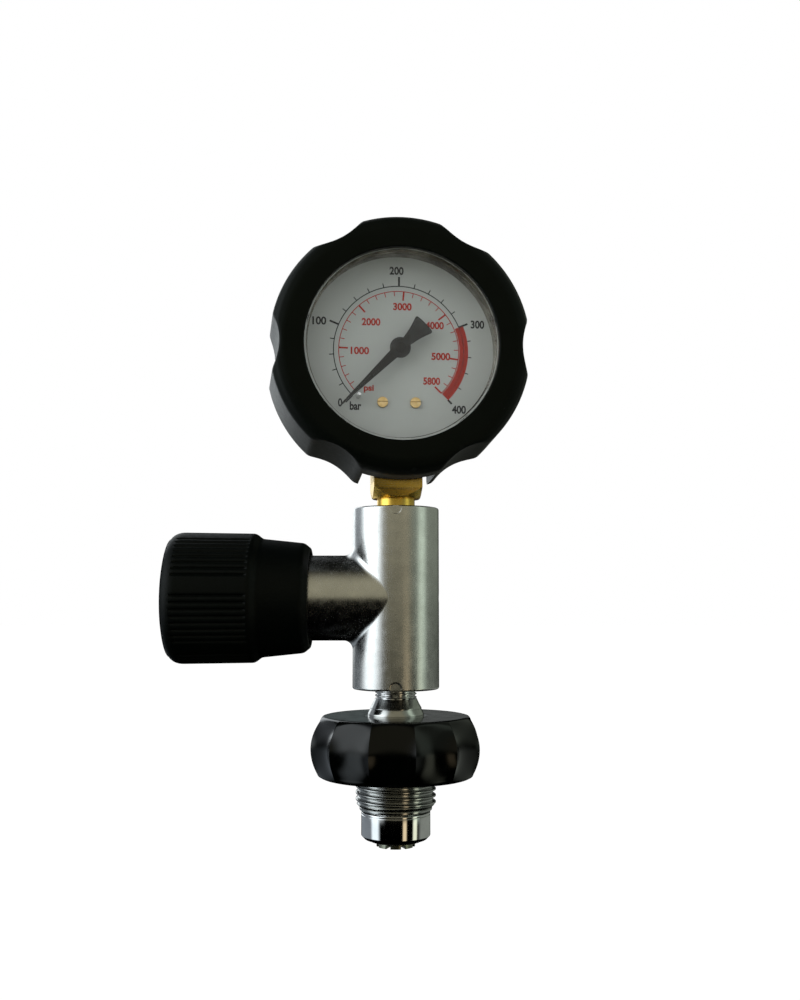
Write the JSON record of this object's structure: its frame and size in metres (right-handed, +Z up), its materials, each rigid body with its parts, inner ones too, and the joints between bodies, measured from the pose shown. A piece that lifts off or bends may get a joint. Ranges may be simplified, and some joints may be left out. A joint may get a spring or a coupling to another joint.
{
  "type": "scuba tank pressure gauge",
  "caption": "Dial gauge in a rubber boot on a T-shaped bleed valve, with a screw-in cylinder connector and handwheel, for reading the pressure in a diving cylinder.",
  "frame": {"origin": "on the stem's axis, at the lower end of the full connector thread", "axes": "+Z up along the stem towards the gauge, -X along the knob, -Y towards the dial's front, which is turned 6 degrees to +X"},
  "size_m": [0.1025, 0.0482, 0.1796],
  "materials": {
    "boot_rubber": "matte moulded rubber",
    "knob_rubber": "satin moulded rubber",
    "wheel_plastic": "glossy black plastic",
    "satin_chrome": "satin chrome on turned brass",
    "bright_chrome": "polished chrome on turned brass",
    "brass": "turned brass",
    "bronze_filter": "sintered bronze",
    "case_steel": "black painted steel",
    "window": "clear window",
    "dial_white": "off-white printed dial",
    "pointer_black": "black painted aluminium",
    "steel": "stainless steel",
    "seal_rubber": "nitrile rubber",
    "white_polymer": "white polymer",
    "tube_bronze": "drawn bronze tube",
    "copper": "annealed copper"
  },
  "bodies": {
    "root": {"connector_stem": "bright_chrome", "nose_oring": "seal_rubber", "stem_oring": "seal_rubber", "filter_disc": "bronze_filter", "filter_retainer": "bright_chrome", "stem_collar": "bright_chrome", "valve_body": "satin_chrome", "bonnet_nut": "bright_chrome", "spindle_oring": "seal_rubber", "spindle_washer": "white_polymer", "gauge_socket": "brass", "socket_washer": "copper", "gauge_case": "case_steel", "blowout_plug": "seal_rubber", "case_screws": "steel", "lens": "window", "lens_gasket": "seal_rubber", "rubber_boot": "boot_rubber", "dial_plate": "dial_white", "dial_screws": "brass", "stop_pin": "steel", "bourdon_tube": "tube_bronze", "hairspring": "tube_bronze", "movement_back_plate": "brass", "movement_front_plate": "brass", "movement_pillars": "brass", "movement_screws": "steel"},
    "wheel": {"threaded_sleeve": "bright_chrome", "handwheel": "wheel_plastic"},
    "knob": {"upper_spindle": "brass", "knob": "knob_rubber", "knob_insert": "brass", "spring_washer": "steel", "knob_nut": "steel"},
    "plug": {"valve_plug": "brass", "seat_disc": "white_polymer"},
    "tip": {"tube_tip": "brass"},
    "link": {"link": "brass", "link_pins": "steel"},
    "sector": {"sector_gear": "brass", "sector_arbor": "steel"},
    "pointer": {"pinion_arbor": "brass", "pointer": "pointer_black", "pointer_bush": "brass"}
  },
  "joints": [
    {"name": "handwheel_turn", "type": "hinge", "parent": "root", "child": "wheel", "pos_m": [0, 0, 0], "axis": [0, 0, 1], "continuous": true},
    {"name": "knob_turn", "type": "hinge", "parent": "root", "child": "knob", "pos_m": [-0.045, 0, 0.05915], "axis": [-1, 0, 0], "range_deg": [0, 630]},
    {"name": "plug_slide", "type": "slide", "parent": "knob", "child": "plug", "axis": [-1, 0, 0], "range_m": [0, 0.00175]},
    {"name": "pointer_turn", "type": "hinge", "parent": "root", "child": "pointer", "pos_m": [0.00042, -0.00398, 0.1303], "axis": [-0.1045, 0.9945, 0], "range_deg": [0, 270], "stiffness_Nm_per_rad": 0.00004, "deforming": ["hairspring"]},
    {"name": "sector_turn", "type": "hinge", "parent": "root", "child": "sector", "pos_m": [0.00585, -0.003, 0.1177], "axis": [0.1045, -0.9945, 0], "range_deg": [0, 27]},
    {"name": "link_turn", "type": "hinge", "parent": "sector", "child": "link", "pos_m": [0.01222, -0.00234, 0.11657], "axis": [-0.1045, 0.9945, 0], "range_deg": [0, 33]},
    {"name": "tip_flex", "type": "hinge", "parent": "root", "child": "tip", "pos_m": [-0.00818, -0.00448, 0.1359], "axis": [0.1045, -0.9945, 0], "range_deg": [0, 5.3], "deforming": ["bourdon_tube"]}
  ],
  "couplings": [
    {"joint": "plug_slide", "follows": "knob_turn", "m_per_rad": 0.00015915},
    {"joint": "sector_turn", "follows": "pointer_turn", "ratio": 0.1},
    {"joint": "link_turn", "follows": "pointer_turn", "ratio": 0.12185},
    {"joint": "tip_flex", "follows": "pointer_turn", "ratio": 0.019519}
  ]
}
